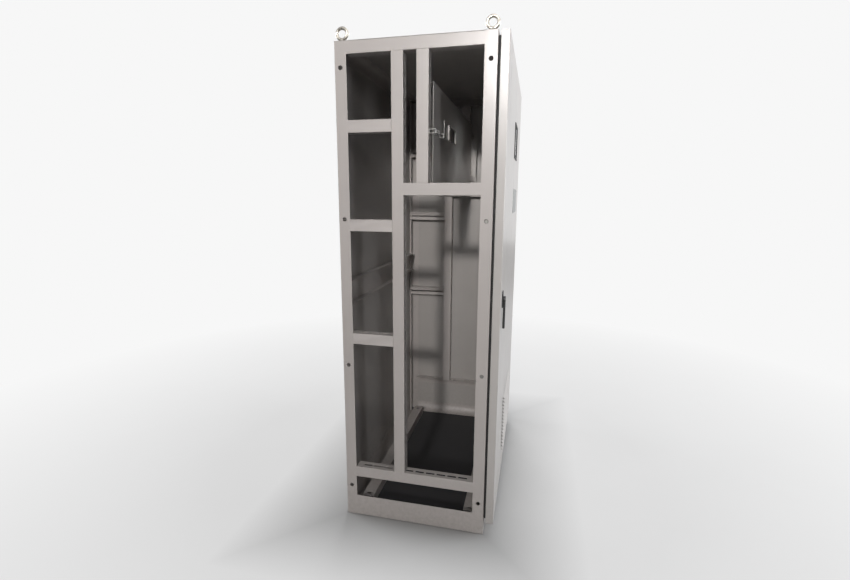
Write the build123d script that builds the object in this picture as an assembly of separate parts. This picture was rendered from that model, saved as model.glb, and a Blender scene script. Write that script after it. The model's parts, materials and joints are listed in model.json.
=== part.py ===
from build123d import *
import math
import os

# Floor-standing switchboard cabinet, seen at its open joining side.
# Millimetres. X runs from the open side (low X) to the closed side (high X), the door faces -Y,
# and Z is up. The origin is the centre of the floor anchor pattern, on the floor.

# Overall frame
FRAME_W = 1200.0
FRAME_D = 650.0
FRAME_H = 2100.0
MEMBER = 50.0
MEMBER_DEPTH = 50.0
SHEET = 2.0
KICK_H = 100.0
PLINTH_GAP = 100.0
ROOF_SHEET = 2.0
RUN_CLEAR = 0.3

# Side frame layout: distances from the rear plane, and drops from the underside of the top rail
MID_POST_OFFSET = 235.0
UPPER_POST_OFFSET = 338.0
REAR_BAY_RAIL_DROPS = (1200.0, 700.0, 300.0)
INSTRUMENT_H = 500.0
RAIL_LIP = 21.0
POST_LIP = 12.0
REAR_RAIL_H = 110.0
REAR_RAIL_DROP = 1032.0
REAR_RAIL_FLANGE = 30.0

# Slot rows in the flanges
SLOT_PITCH = 50.0
SLOT_L = 35.0
SLOT_W = 8.0

# Coupling holes in the corner posts
COUPLING_HOLE_D = 18.0
COUPLING_FROM_FLOOR = (150.0, 750.0)
COUPLING_FROM_TOP = (700.0, 100.0)
COUPLING_INSET = 25.0
INSERT_BORE_D = 8.5
INSERT_FLANGE_D = 24.0
INSERT_FLANGE_T = 1.0
INSERT_LENGTH = 16.0

# Base beams with the floor anchors
BEAM_W = 56.0
BEAM_H = 50.0
BEAM_SHEET = 3.0
BEAM_END_INSET = 80.0
ANCHOR_SIDE_INSET = 100.0
ANCHOR_REAR_INSET = 75.0
ANCHOR_HOLE_D = 14.0
ANCHOR_ACCESS_D = 22.0
BASE_BOLT_AF = 13.0
BASE_BOLT_HEAD = 5.5
BASE_BOLT_INBOARD = 25.0

# Covers
COVER_SHEET = 1.5
COVER_EDGE = 12.0
COVER_JOINT = 4.0
COVER_BOTTOM = 50.0
CLOSED_KICK_H = 54.0
SCREW_AF = 13.0
SCREW_HEAD = 4.5
SCREW_EDGE = 13.0
SCREW_D = 8.0
SCREW_END_GAP = 40.0
SCREW_PITCH = 600.0

# Lifting eyebolts
EYE_RING_R = 21.5
EYE_WIRE_R = 6.5
EYE_COLLAR_R = 15.0
EYE_COLLAR_H = 12.0
EYE_SHANK_D = 12.0
EYE_THREAD_END = 3.0
EYE_INSET_X = 30.0
EYE_INSET_Y = 24.0
GUSSET_T = 6.0
NUT_AF = 18.0
NUT_H = 10.0

# Front door
DOOR_DEPTH = 34.0
DOOR_STANDOFF = 10.0
DOOR_SHEET = 2.0
DOOR_SIDE_GAP = 1.5
DOOR_TOP_GAP = 2.0
DOOR_BOTTOM = 55.0
DOOR_LIP = 24.0
DOOR_BEND_R = 3.0
GASKET_W = 12.0
GASKET_INSET = 14.0
STIFFENER_W = 40.0
STIFFENER_DEPTH = 15.0
STIFFENER_FOOT = 14.0
STIFFENER_END = 70.0
STIFFENER_INSET = 230.0

# Louvres in the lower door
LOUVRE_COUNT = 16
LOUVRE_PITCH = 18.0
LOUVRE_W = 300.0
LOUVRE_H = 12.0
LOUVRE_PROUD = 6.0
LOUVRE_BOTTOM = 265.0

# Inspection window and blank plate
WINDOW_OFF_CENTRE = 90.0
WINDOW_TOP_GAP = 248.0
WINDOW_W = 190.0
WINDOW_H = 150.0
PANE_T = 4.0
SEAL_W = 10.0
SEAL_PROUD = 4.0
SEAL_BITE = 5.0
PLATE_OFF_CENTRE = 190.0
PLATE_TO_WINDOW = 160.0
PLATE_W = 320.0
PLATE_H = 125.0
PLATE_T = 1.5

# Door hinges
HINGE_END_GAP = 195.0
HINGE_KNUCKLE_L = 40.0
HINGE_KNUCKLE_R = 4.7
HINGE_PIN_R = 2.5
HINGE_PIN_CLEAR = 0.05
HINGE_EDGE = 4.0
HINGE_OFFSET = 5.0
HINGE_PLATE_T = 2.0
HINGE_LEAF_W = 14.0

# Handle and lock rods
HANDLE_INSET = 77.0
HANDLE_HEIGHT = 1073.0
LEVER_L = 126.0
LEVER_W = 18.0
LEVER_T = 10.0
HUB_R = 14.0
HANDLE_BASE_W = 32.0
HANDLE_BASE_H = 70.0
HANDLE_BASE_T = 4.0
BUSH_R = 8.0
SPINDLE_R = 5.8
SHAFT_CLEAR = 0.05
CAM_R = 24.0
CAM_T = 3.0
CAM_SQUARE = 8.0
CAM_PIN_R = 3.0
CAM_PIN_ORBIT = 17.68
ROD_W = 16.0
ROD_T = 3.0
ROD_TRAVEL = 25.0
ROD_SLOT_CLEAR = 0.7
ROD_EYE_WALL = 2.2
ROD_BACKSET = 22.0
TONGUE_T = 5.0
TONGUE_ARM = 12.0
TONGUE_GAP = 5.0
ROD_END_CLEAR = 5.0
GUIDE_SHEET = 2.0
GUIDE_H = 20.0
GUIDE_FROM_HANDLE = 190.0
GUIDE_FROM_TONGUE = 150.0

# Inner panel of the instrument space
PANEL_SHEET = 2.0
PANEL_STEP = 13.0
PANEL_TOP_GAP = 110.0
PANEL_SIDE_FLANGE = 25.0
PANEL_BOTTOM_FLANGE = 42.0
PANEL_FRONT_FLANGE = 33.0
CUTOUT_X = (353.0, 531.0)
CUTOUT_DROP = 232.0
CUTOUT_H = 61.0
CUTOUT_WALL = 2.0
CUTOUT_DEPTH = 6.5
HOOK_W = 24.0
HOOK_H = 60.0
HOOK_T = 3.0
HOOK_DROPS = (450.0, 200.0)
HOOK_SIDE_INSET = 95.0

# Slide bolt on the inner panel
BOLT_R = 5.0
BOLT_L = 176.0
BOLT_DROP = 300.0
BOLT_START = 52.0
BOLT_STANDOFF = 8.0
BOLT_TRAVEL = 35.0
BOLT_GUIDE_W = 10.0
BOLT_GUIDE_X = (62.0, 162.0)
BOLT_BORE_CLEAR = 0.05
KEEPER_X = 8.0
KEEPER_W = 20.0
KEEPER_H = 17.0
LEVER_PLATE_W = 14.0
LEVER_PLATE_H = 70.0
LEVER_PLATE_T = 3.0

# Places worked out from the sizes above
INNER_H = FRAME_H - ROOF_SHEET
TOP_RAIL = FRAME_H - MEMBER
SILL = KICK_H + PLINTH_GAP
SILL_TOP = SILL + MEMBER
FRONT_POST_OFFSET = FRAME_D - MEMBER
DOOR_BACK = FRAME_D + DOOR_STANDOFF
DOOR_FACE = DOOR_BACK + DOOR_DEPTH
DOOR_TOP = FRAME_H - DOOR_TOP_GAP
REAR_BAY_RAIL_HEIGHTS = [TOP_RAIL - drop for drop in REAR_BAY_RAIL_DROPS]
FRONT_BAY_RAIL_HEIGHT = TOP_RAIL - INSTRUMENT_H - MEMBER
REAR_RAIL_HEIGHT = TOP_RAIL - REAR_RAIL_DROP
ANCHOR_X = FRAME_W - 2 * ANCHOR_SIDE_INSET
ANCHOR_Y = FRAME_D - 2 * ANCHOR_REAR_INSET
COUPLING_HEIGHTS = [*COUPLING_FROM_FLOOR, *[FRAME_H - drop for drop in COUPLING_FROM_TOP]]
THREADED_HEIGHTS = COUPLING_HEIGHTS[1:3]
WINDOW_CENTRE_X = FRAME_W / 2 + WINDOW_OFF_CENTRE
WINDOW_BOTTOM = DOOR_TOP - WINDOW_TOP_GAP - WINDOW_H
PLATE_CENTRE_X = FRAME_W / 2 + PLATE_OFF_CENTRE
PLATE_BOTTOM = WINDOW_BOTTOM - PLATE_TO_WINDOW - PLATE_H
HINGE_LOWEST = DOOR_BOTTOM + HINGE_END_GAP
HINGE_HIGHEST = DOOR_TOP - HINGE_END_GAP - 2 * HINGE_KNUCKLE_L - RUN_CLEAR
HINGE_HEIGHTS = (HINGE_LOWEST, (HINGE_LOWEST + HINGE_HIGHEST) / 2, HINGE_HIGHEST)
PANEL_FACE = UPPER_POST_OFFSET + MEMBER + PANEL_STEP
CUTOUT_Z = (TOP_RAIL - CUTOUT_DROP - CUTOUT_H, TOP_RAIL - CUTOUT_DROP)
BOLT_HEIGHT = TOP_RAIL - BOLT_DROP
HINGE_X = FRAME_W - HINGE_EDGE
HINGE_FACE = FRAME_D + HINGE_OFFSET
ROD_FACE = DOOR_FACE - DOOR_SHEET - ROD_BACKSET
CAM_FACE = ROD_FACE - CAM_T - GUIDE_SHEET


def block(x0, x1, t0, t1, z0, z1):
    """Box given by distances from the open side, from the rear plane and from the floor."""
    centre = ((x0 + x1) / 2 - FRAME_W / 2, FRAME_D / 2 - (t0 + t1) / 2, (z0 + z1) / 2)
    return Pos(*centre) * Box(abs(x1 - x0), abs(t1 - t0), abs(z1 - z0))


def rod_along_y(x, z, radius, t0, t1):
    """Round bar or drill that runs front to back."""
    place = Pos(x - FRAME_W / 2, FRAME_D / 2 - (t0 + t1) / 2, z) * Rot(90, 0, 0)
    return place * Cylinder(radius, abs(t1 - t0))


def rod_along_x(t, z, radius, x0, x1):
    """Round bar or drill that runs from side to side."""
    place = Pos((x0 + x1) / 2 - FRAME_W / 2, FRAME_D / 2 - t, z) * Rot(0, 90, 0)
    return place * Cylinder(radius, abs(x1 - x0))


def rod_along_z(x, t, radius, z0, z1):
    """Upright round bar or drill."""
    return Pos(x - FRAME_W / 2, FRAME_D / 2 - t, (z0 + z1) / 2) * Cylinder(radius, abs(z1 - z0))


def hexagon(place, across_flats, height):
    """Hexagonal head that stands on the XY plane of the given place."""
    outline = RegularPolygon(across_flats / math.sqrt(3), 6)
    return place * extrude(outline, height)


def ring_plate(x0, x1, z0, z1, t0, t1, width):
    """Flat rectangular ring that lies parallel to the front."""
    inner = block(x0 + width, x1 - width, t0 - 1, t1 + 1, z0 + width, z1 - width)
    return block(x0, x1, t0, t1, z0, z1) - inner


def mirrored(shape):
    """The same piece for the closed side."""
    return mirror(shape, about=Plane.YZ)


def slot_offsets(start, end):
    """Middles of the slots that fit between two faces, on the module grid."""
    first = math.ceil((start + SLOT_L / 2) / SLOT_PITCH) * SLOT_PITCH
    places = []
    while first + SLOT_L / 2 < end:
        places.append(first)
        first += SLOT_PITCH
    return places


def slotted_shelf(shape, t0, t1, z0, z1):
    """Cuts a slot row, front to back, through a horizontal flange of the open side."""
    middle = MEMBER_DEPTH / 2
    for t in slot_offsets(t0, t1):
        shape -= block(middle - SLOT_W / 2, middle + SLOT_W / 2, t - SLOT_L / 2, t + SLOT_L / 2, z0 - 1, z1 + 1)
    return shape


def corner_post(front):
    """Angle post of one corner of the open side, with a return lip and coupling holes."""
    outer, inner = (FRAME_D, -1) if front else (0.0, 1)
    web = outer + inner * SHEET
    post = block(0, SHEET, outer, outer + inner * MEMBER, 0, INNER_H)
    post += block(SHEET, MEMBER_DEPTH, outer, web, 0, INNER_H)
    post += block(MEMBER_DEPTH - SHEET, MEMBER_DEPTH, web, outer + inner * POST_LIP, 0, INNER_H)
    for height in COUPLING_HEIGHTS:
        hole = outer + inner * COUPLING_INSET
        post -= rod_along_x(hole, height, COUPLING_HOLE_D / 2, -1, SHEET + 1)
    return post


def box_post(offset, z0, z1):
    """Square tube post with a slot row in its front wall."""
    post = block(0, MEMBER_DEPTH, offset, offset + MEMBER, z0, z1)
    post -= block(SHEET, MEMBER_DEPTH - SHEET, offset + SHEET, offset + MEMBER - SHEET, z0 - 1, z1 + 1)
    middle = MEMBER_DEPTH / 2
    front = offset + MEMBER
    for z in slot_offsets(z0, z1):
        slot = block(middle - SLOT_W / 2, middle + SLOT_W / 2, front - SHEET - 1, front + 1,
                     z - SLOT_L / 2, z + SLOT_L / 2)
        post -= slot
    return post


def lipped_rail(t0, t1, z, tuck=0.0):
    """Channel that opens inwards, with two lips and a slot row in its top flange."""
    rail = block(SHEET, MEMBER_DEPTH, t0 - tuck, t1, z, z + MEMBER)
    rail -= block(SHEET - 1, MEMBER_DEPTH - SHEET, t0 - tuck - 1, t1 + 1, z + SHEET, z + MEMBER - SHEET)
    rail -= block(MEMBER_DEPTH - SHEET - 1, MEMBER_DEPTH + 1, t0 - tuck - 1, t1 + 1, z + RAIL_LIP,
                  z + MEMBER - RAIL_LIP)
    rail += block(0, SHEET, t0, t1, z, z + MEMBER)
    return slotted_shelf(rail, t0, t1, z + MEMBER - SHEET, z + MEMBER)


def rear_bay_rails():
    """Three short rails between the rear post and the mid post."""
    tuck = MEMBER - POST_LIP - RUN_CLEAR
    rails = [lipped_rail(MEMBER, MID_POST_OFFSET, z, tuck) for z in REAR_BAY_RAIL_HEIGHTS]
    return Compound(children=rails)


def front_bay_rail():
    """Rail under the instrument space."""
    return lipped_rail(MID_POST_OFFSET + MEMBER, FRONT_POST_OFFSET, FRONT_BAY_RAIL_HEIGHT)


def side_top_rail():
    """Channel at the top of a side frame."""
    rail = block(0, MEMBER_DEPTH, MEMBER, FRONT_POST_OFFSET, TOP_RAIL, INNER_H)
    rail -= block(SHEET, MEMBER_DEPTH + 1, MEMBER - 1, FRONT_POST_OFFSET + 1, TOP_RAIL + SHEET, INNER_H - SHEET)
    return rail


def side_bottom_rail():
    """Sill angle over the plinth gap, with a slotted shelf."""
    rail = block(0, SHEET, MEMBER, FRONT_POST_OFFSET, SILL, SILL_TOP)
    rail += block(SHEET, MEMBER_DEPTH, MEMBER, FRONT_POST_OFFSET, SILL_TOP - SHEET, SILL_TOP)
    return slotted_shelf(rail, MEMBER, FRONT_POST_OFFSET, SILL_TOP - SHEET, SILL_TOP)


def side_kick_rail(height):
    """Kick plate angle that stands on the floor."""
    rail = block(0, SHEET, MEMBER, FRONT_POST_OFFSET, 0, height)
    rail += block(SHEET, MEMBER_DEPTH, MEMBER, FRONT_POST_OFFSET, 0, SHEET)
    return rail


def cross_angle(front, z0, z1, flange_at_top, flange):
    """Angle rail that runs along the front or the rear between the corner posts."""
    outer, inner = (FRAME_D, -1) if front else (0.0, 1)
    web = outer + inner * SHEET
    x0 = MEMBER_DEPTH
    x1 = FRAME_W - MEMBER_DEPTH
    rail = block(x0, x1, outer, web, z0, z1)
    flange_z = (z1 - SHEET, z1) if flange_at_top else (z0, z0 + SHEET)
    rail += block(x0, x1, web, outer + inner * flange, *flange_z)
    return rail


def rear_mid_rail():
    """Wide channel across the rear, behind the joint of the two covers."""
    x0 = MEMBER_DEPTH
    x1 = FRAME_W - MEMBER_DEPTH
    top = REAR_RAIL_HEIGHT + REAR_RAIL_H
    rail = block(x0, x1, 0, REAR_RAIL_FLANGE, REAR_RAIL_HEIGHT, top)
    rail -= block(x0 - 1, x1 + 1, SHEET, REAR_RAIL_FLANGE + 1, REAR_RAIL_HEIGHT + SHEET, top - SHEET)
    return rail


def base_beam(front):
    """Floor channel with an anchor hole near each end."""
    anchor = FRAME_D / 2 + (ANCHOR_Y / 2 if front else -ANCHOR_Y / 2)
    t0 = anchor - BEAM_W / 2
    t1 = anchor + BEAM_W / 2
    x0 = BEAM_END_INSET
    x1 = FRAME_W - BEAM_END_INSET
    beam = block(x0, x1, t0, t1, 0, BEAM_H)
    open_face = (t0 - 1, t1 - BEAM_SHEET) if front else (t0 + BEAM_SHEET, t1 + 1)
    beam -= block(x0 - 1, x1 + 1, *open_face, BEAM_SHEET, BEAM_H - BEAM_SHEET)
    for side in (-1, 1):
        x = FRAME_W / 2 + side * ANCHOR_X / 2
        beam -= rod_along_z(x, anchor, ANCHOR_HOLE_D / 2, -1, BEAM_SHEET + 1)
        beam -= rod_along_z(x, anchor, ANCHOR_ACCESS_D / 2, BEAM_H - BEAM_SHEET - 1, BEAM_H + 1)
    return beam


def base_bolts():
    """Hexagon heads on the beams, just inboard of the anchor holes of the closed side."""
    heads = []
    for side in (-1, 1):
        place = Pos(ANCHOR_X / 2 - BASE_BOLT_INBOARD, side * ANCHOR_Y / 2, BEAM_H)
        heads.append(hexagon(place, BASE_BOLT_AF, BASE_BOLT_HEAD))
    return Compound(children=heads)


def eye_places():
    """Plan positions of the four lifting points, as distances from the open side and the rear."""
    return [(x, t) for x in (EYE_INSET_X, FRAME_W - EYE_INSET_X) for t in (EYE_INSET_Y, FRAME_D - EYE_INSET_Y)]


def roof_panel():
    """Flat roof sheet with a hole at each lifting point."""
    roof = block(0, FRAME_W, 0, FRAME_D, INNER_H, FRAME_H)
    for x, t in eye_places():
        roof -= rod_along_z(x, t, EYE_SHANK_D / 2, INNER_H - 1, FRAME_H + 1)
    return roof


def corner_gussets():
    """Thick plates under the roof corners that carry the lifting load."""
    plates = []
    for x, t in eye_places():
        low_x = x < FRAME_W / 2
        low_t = t < FRAME_D / 2
        x_span = (SHEET, MEMBER_DEPTH - SHEET) if low_x else (FRAME_W - MEMBER_DEPTH + SHEET, FRAME_W - SHEET)
        t_span = (SHEET, MEMBER) if low_t else (FRAME_D - MEMBER, FRAME_D - SHEET)
        plate = block(*x_span, *t_span, INNER_H - GUSSET_T, INNER_H)
        plate -= rod_along_z(x, t, EYE_SHANK_D / 2, INNER_H - GUSSET_T - 1, INNER_H + 1)
        plates.append(plate)
    return Compound(children=plates)


def lifting_eyebolts():
    """Forged ring bolts whose rings stand across the width."""
    eyes = []
    shank_bottom = INNER_H - GUSSET_T - NUT_H - EYE_THREAD_END
    for x, t in eye_places():
        place = Pos(x - FRAME_W / 2, FRAME_D / 2 - t, 0)
        ring_z = FRAME_H + EYE_COLLAR_H + EYE_RING_R
        ring = Pos(0, 0, ring_z) * Rot(0, 90, 0) * Torus(EYE_RING_R, EYE_WIRE_R)
        collar = Pos(0, 0, FRAME_H + EYE_COLLAR_H / 2) * Cone(EYE_COLLAR_R, EYE_COLLAR_R * 0.6, EYE_COLLAR_H)
        shank = rod_along_z(FRAME_W / 2, FRAME_D / 2, EYE_SHANK_D / 2, shank_bottom, FRAME_H + EYE_COLLAR_H)
        eyes.append(place * (ring + collar + shank))
    return Compound(children=eyes)


def eyebolt_nuts():
    """Hexagon nuts under the gussets."""
    nuts = []
    for x, t in eye_places():
        place = Pos(x - FRAME_W / 2, FRAME_D / 2 - t, INNER_H - GUSSET_T - NUT_H)
        nut = hexagon(place, NUT_AF, NUT_H)
        nuts.append(nut - rod_along_z(x, t, EYE_SHANK_D / 2, 0, FRAME_H))
    return Compound(children=nuts)


def threaded_inserts():
    """Rivet nuts in two coupling holes of the front post of the open side."""
    inserts = []
    t = FRAME_D - COUPLING_INSET
    for z in THREADED_HEIGHTS:
        insert = rod_along_x(t, z, COUPLING_HOLE_D / 2, 0, INSERT_LENGTH)
        insert += rod_along_x(t, z, INSERT_FLANGE_D / 2, SHEET, SHEET + INSERT_FLANGE_T)
        insert -= rod_along_x(t, z, INSERT_BORE_D / 2, -1, INSERT_LENGTH + 1)
        inserts.append(insert)
    return Compound(children=inserts)


def screw_rows(length, end_gap, pitch):
    """Evenly spaced places along an edge, no further apart than the pitch."""
    count = max(1, math.ceil((length - 2 * end_gap) / pitch))
    step = (length - 2 * end_gap) / count
    return [end_gap + step * i for i in range(count + 1)]


def rear_cover_span(upper):
    """Heights of the lower edge and the upper edge of a rear cover."""
    joint = REAR_RAIL_HEIGHT + REAR_RAIL_H / 2
    if upper:
        return joint + COVER_JOINT / 2, FRAME_H - COVER_EDGE
    return COVER_BOTTOM, joint - COVER_JOINT / 2


def rear_cover_screw_places(upper):
    """Middles of the screws round the edge of a rear cover."""
    z0, z1 = rear_cover_span(upper)
    left = COVER_EDGE + SCREW_EDGE
    right = FRAME_W - COVER_EDGE - SCREW_EDGE
    places = []
    for z in screw_rows(z1 - z0, SCREW_EDGE, SCREW_PITCH):
        places.append((left, z0 + z))
        places.append((right, z0 + z))
    for z in (z0 + SCREW_EDGE, z1 - SCREW_EDGE):
        for x in screw_rows(right - left, 0.0, SCREW_PITCH)[1:-1]:
            places.append((left + x, z))
    return places


def rear_cover(upper):
    """Flat cover screwed to the rear of the frame."""
    z0, z1 = rear_cover_span(upper)
    return block(COVER_EDGE, FRAME_W - COVER_EDGE, -COVER_SHEET, 0, z0, z1)


def rear_cover_screws():
    """Hexagon heads on both rear covers."""
    heads = []
    for upper in (False, True):
        for x, z in rear_cover_screw_places(upper):
            place = Pos(x - FRAME_W / 2, FRAME_D / 2 + COVER_SHEET, z) * Rot(-90, 0, 0)
            heads.append(hexagon(place, SCREW_AF, SCREW_HEAD))
    return Compound(children=heads)


def side_panel():
    """Flat panel that closes the far side."""
    t1 = FRAME_D - COVER_EDGE
    return block(FRAME_W, FRAME_W + COVER_SHEET, COVER_EDGE, t1, COVER_BOTTOM, FRAME_H - COVER_EDGE)


def side_panel_screws():
    """Hexagon heads along both upright edges of the side panel."""
    heads = []
    z0 = COVER_BOTTOM
    z1 = FRAME_H - COVER_EDGE
    for t in (COVER_EDGE + SCREW_EDGE, FRAME_D - COVER_EDGE - SCREW_EDGE):
        for z in screw_rows(z1 - z0, SCREW_END_GAP, SCREW_PITCH):
            place = Pos(FRAME_W / 2 + COVER_SHEET, FRAME_D / 2 - t, z0 + z) * Rot(0, 90, 0)
            heads.append(hexagon(place, SCREW_AF, SCREW_HEAD))
    return Compound(children=heads)


def inner_panel():
    """Folded sheet between the instrument space and the busbar space."""
    x0 = MEMBER_DEPTH
    x1 = FRAME_W - MEMBER_DEPTH
    z0 = FRONT_BAY_RAIL_HEIGHT
    z1 = TOP_RAIL - PANEL_TOP_GAP
    face = PANEL_FACE
    back = face - PANEL_SHEET
    sheet = PANEL_SHEET
    panel = block(x0, x1, back, face, z0, z1)
    panel += block(x0, x0 + sheet, back - PANEL_SIDE_FLANGE, back, z0, z1)
    panel += block(x0, x1, back - PANEL_BOTTOM_FLANGE, back, z0, z0 + sheet)
    panel += block(x0, x1, back - PANEL_SIDE_FLANGE, back, z1 - sheet, z1)
    panel += block(x1 - sheet, x1, face, face + PANEL_FRONT_FLANGE, z0, z1)
    panel -= block(*CUTOUT_X, back - 1, face + 1, *CUTOUT_Z)
    return panel


def cutout_frame():
    """Upstanding frame round the instrument cut-out."""
    wall = CUTOUT_WALL
    return ring_plate(CUTOUT_X[0] - wall, CUTOUT_X[1] + wall, CUTOUT_Z[0] - wall, CUTOUT_Z[1] + wall,
                      PANEL_FACE, PANEL_FACE + CUTOUT_DEPTH, wall)


def panel_hooks():
    """Folded hooks by which the inner panel hangs at its far end."""
    hooks = []
    face = PANEL_FACE
    x0 = FRAME_W - HOOK_SIDE_INSET
    x1 = x0 + HOOK_W
    for z in [TOP_RAIL - drop for drop in HOOK_DROPS]:
        hook = block(x0, x1, face, face + HOOK_T, z, z + HOOK_H)
        hook += block(x1 - HOOK_T, x1, face + HOOK_T, face + HOOK_W, z, z + HOOK_H / 2)
        hooks.append(hook)
    return Compound(children=hooks)


def slide_bolt_axis():
    """Distance of the slide bolt from the rear plane."""
    return PANEL_FACE + BOLT_STANDOFF


def slide_bolt_guides():
    """Two bored blocks on the inner panel."""
    guides = []
    axis = slide_bolt_axis()
    reach = axis + BOLT_R + BOLT_STANDOFF / 2
    for x in BOLT_GUIDE_X:
        guide = block(x, x + BOLT_GUIDE_W, PANEL_FACE, reach, BOLT_HEIGHT - KEEPER_H / 2, BOLT_HEIGHT + KEEPER_H / 2)
        guide -= rod_along_x(axis, BOLT_HEIGHT, BOLT_R + BOLT_BORE_CLEAR, x - 1, x + BOLT_GUIDE_W + 1)
        guides.append(guide)
    return Compound(children=guides)


def slide_bolt():
    """Round bolt with an upright thumb plate at its inner end."""
    axis = slide_bolt_axis()
    end = BOLT_START + BOLT_L
    bolt = rod_along_x(axis, BOLT_HEIGHT, BOLT_R, BOLT_START, end)
    bolt += block(end - LEVER_PLATE_W, end, axis - LEVER_PLATE_T / 2, axis + LEVER_PLATE_T / 2, BOLT_HEIGHT,
                  BOLT_HEIGHT + LEVER_PLATE_H)
    return bolt


def slide_bolt_keeper():
    """Bored block on the upper post that takes the end of the slide bolt."""
    axis = slide_bolt_axis()
    post_front = UPPER_POST_OFFSET + MEMBER
    reach = axis + BOLT_R + BOLT_STANDOFF / 2
    keeper = block(KEEPER_X, KEEPER_X + KEEPER_W, post_front, reach, BOLT_HEIGHT - KEEPER_H / 2,
                   BOLT_HEIGHT + KEEPER_H / 2)
    keeper -= rod_along_x(axis, BOLT_HEIGHT, BOLT_R + RUN_CLEAR, KEEPER_X - 1, KEEPER_X + KEEPER_W + 1)
    return keeper


def door_span():
    """Side edges and heights of the door leaf."""
    return DOOR_SIDE_GAP, FRAME_W - DOOR_SIDE_GAP, DOOR_BOTTOM, DOOR_TOP


def louvre_hood(z):
    """One pressed louvre, drawn at a height: the hood to add and the throat to cut."""
    x0 = FRAME_W / 2 - LOUVRE_W / 2
    face = DOOR_FACE
    back = face - DOOR_SHEET
    outer = [(face, z), (face + LOUVRE_PROUD, z), (face, z + LOUVRE_H)]
    wall = DOOR_SHEET * 0.7
    inner = [(back - 1, z), (face + LOUVRE_PROUD - wall, z), (back, z + LOUVRE_H - wall),
             (back - 1, z + LOUVRE_H - wall)]
    hood = side_prism(outer, x0, x0 + LOUVRE_W)
    throat = side_prism(inner, x0 + wall, x0 + LOUVRE_W - wall)
    return hood, throat


def side_prism(outline, x0, x1):
    """Solid with the given outline of rear distances and heights, swept from side to side."""
    points = [(FRAME_D / 2 - t, z) for t, z in outline]
    face = Plane.YZ * make_face(Polyline(*points, close=True))
    return Pos(x0 - FRAME_W / 2, 0, 0) * extrude(face, x1 - x0)


def front_door():
    """Folded door tray with returned lips, louvres, window opening and lock hole."""
    x0, x1, z0, z1 = door_span()
    tray = block(x0, x1, DOOR_BACK, DOOR_FACE, z0, z1)
    front_edges = tray.faces().sort_by(Axis.Y)[0].edges()
    tray = fillet(front_edges, DOOR_BEND_R)
    wall = DOOR_SHEET
    hollow = block(x0 + wall, x1 - wall, DOOR_BACK - 1, DOOR_FACE - wall, z0 + wall, z1 - wall)
    leaf = tray - hollow
    leaf += ring_plate(x0, x1, z0, z1, DOOR_BACK, DOOR_BACK + wall, DOOR_LIP)
    hoods = [louvre_hood(LOUVRE_BOTTOM + LOUVRE_PITCH * i) for i in range(LOUVRE_COUNT)]
    for hood, _ in hoods:
        leaf += hood
    for _, throat in hoods:
        leaf -= throat
    leaf -= block(WINDOW_CENTRE_X - WINDOW_W / 2, WINDOW_CENTRE_X + WINDOW_W / 2, DOOR_FACE - wall - 1,
                  DOOR_FACE + 1, WINDOW_BOTTOM, WINDOW_BOTTOM + WINDOW_H)
    leaf -= rod_along_y(HANDLE_INSET, HANDLE_HEIGHT, BUSH_R, DOOR_FACE - wall - 1, DOOR_FACE + 1)
    return leaf


def door_stiffeners():
    """Two upright hat sections on the inside of the leaf."""
    bars = []
    back = DOOR_FACE - DOOR_SHEET
    z0 = DOOR_BOTTOM + STIFFENER_END
    z1 = DOOR_TOP - STIFFENER_END
    sheet = DOOR_SHEET
    for x in (STIFFENER_INSET, FRAME_W - STIFFENER_INSET):
        x0 = x - STIFFENER_W / 2
        x1 = x + STIFFENER_W / 2
        bar = block(x0, x1, back - STIFFENER_DEPTH, back, z0, z1)
        bar -= block(x0 + sheet, x1 - sheet, back - STIFFENER_DEPTH + sheet, back + 1, z0 - 1, z1 + 1)
        bar += block(x0 - STIFFENER_FOOT, x0, back - sheet, back, z0, z1)
        bar += block(x1, x1 + STIFFENER_FOOT, back - sheet, back, z0, z1)
        bars.append(bar)
    return Compound(children=bars)


def door_gasket():
    """Foam seal on the lips of the leaf, just clear of the frame."""
    x0, x1, z0, z1 = door_span()
    inset = GASKET_INSET
    return ring_plate(x0 + inset, x1 - inset, z0 + inset, z1 - inset, FRAME_D + RUN_CLEAR, DOOR_BACK, GASKET_W)


def window_edges(grow):
    """Edges of the window opening, grown by a margin."""
    return (WINDOW_CENTRE_X - WINDOW_W / 2 - grow, WINDOW_CENTRE_X + WINDOW_W / 2 + grow,
            WINDOW_BOTTOM - grow, WINDOW_BOTTOM + WINDOW_H + grow)


def window_seal():
    """Rubber glazing profile that grips the sheet outside and the pane inside."""
    outer = ring_plate(*window_edges(SEAL_W), DOOR_FACE, DOOR_FACE + SEAL_PROUD, SEAL_W + SEAL_BITE)
    core = ring_plate(*window_edges(0), DOOR_FACE - DOOR_SHEET, DOOR_FACE, SEAL_BITE)
    inner = ring_plate(*window_edges(SEAL_W), DOOR_FACE - DOOR_SHEET - SEAL_PROUD, DOOR_FACE - DOOR_SHEET,
                       SEAL_W + SEAL_BITE)
    return outer + core + inner


def window_pane():
    """Clear pane inside the rubber profile."""
    x0, x1, z0, z1 = window_edges(-SEAL_BITE)
    middle = DOOR_FACE - DOOR_SHEET / 2
    return block(x0, x1, middle - PANE_T / 2, middle + PANE_T / 2, z0, z1)


def blank_plate():
    """Bare plate on the door face."""
    x0 = PLATE_CENTRE_X - PLATE_W / 2
    x1 = PLATE_CENTRE_X + PLATE_W / 2
    return block(x0, x1, DOOR_FACE, DOOR_FACE + PLATE_T, PLATE_BOTTOM, PLATE_BOTTOM + PLATE_H)


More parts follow.
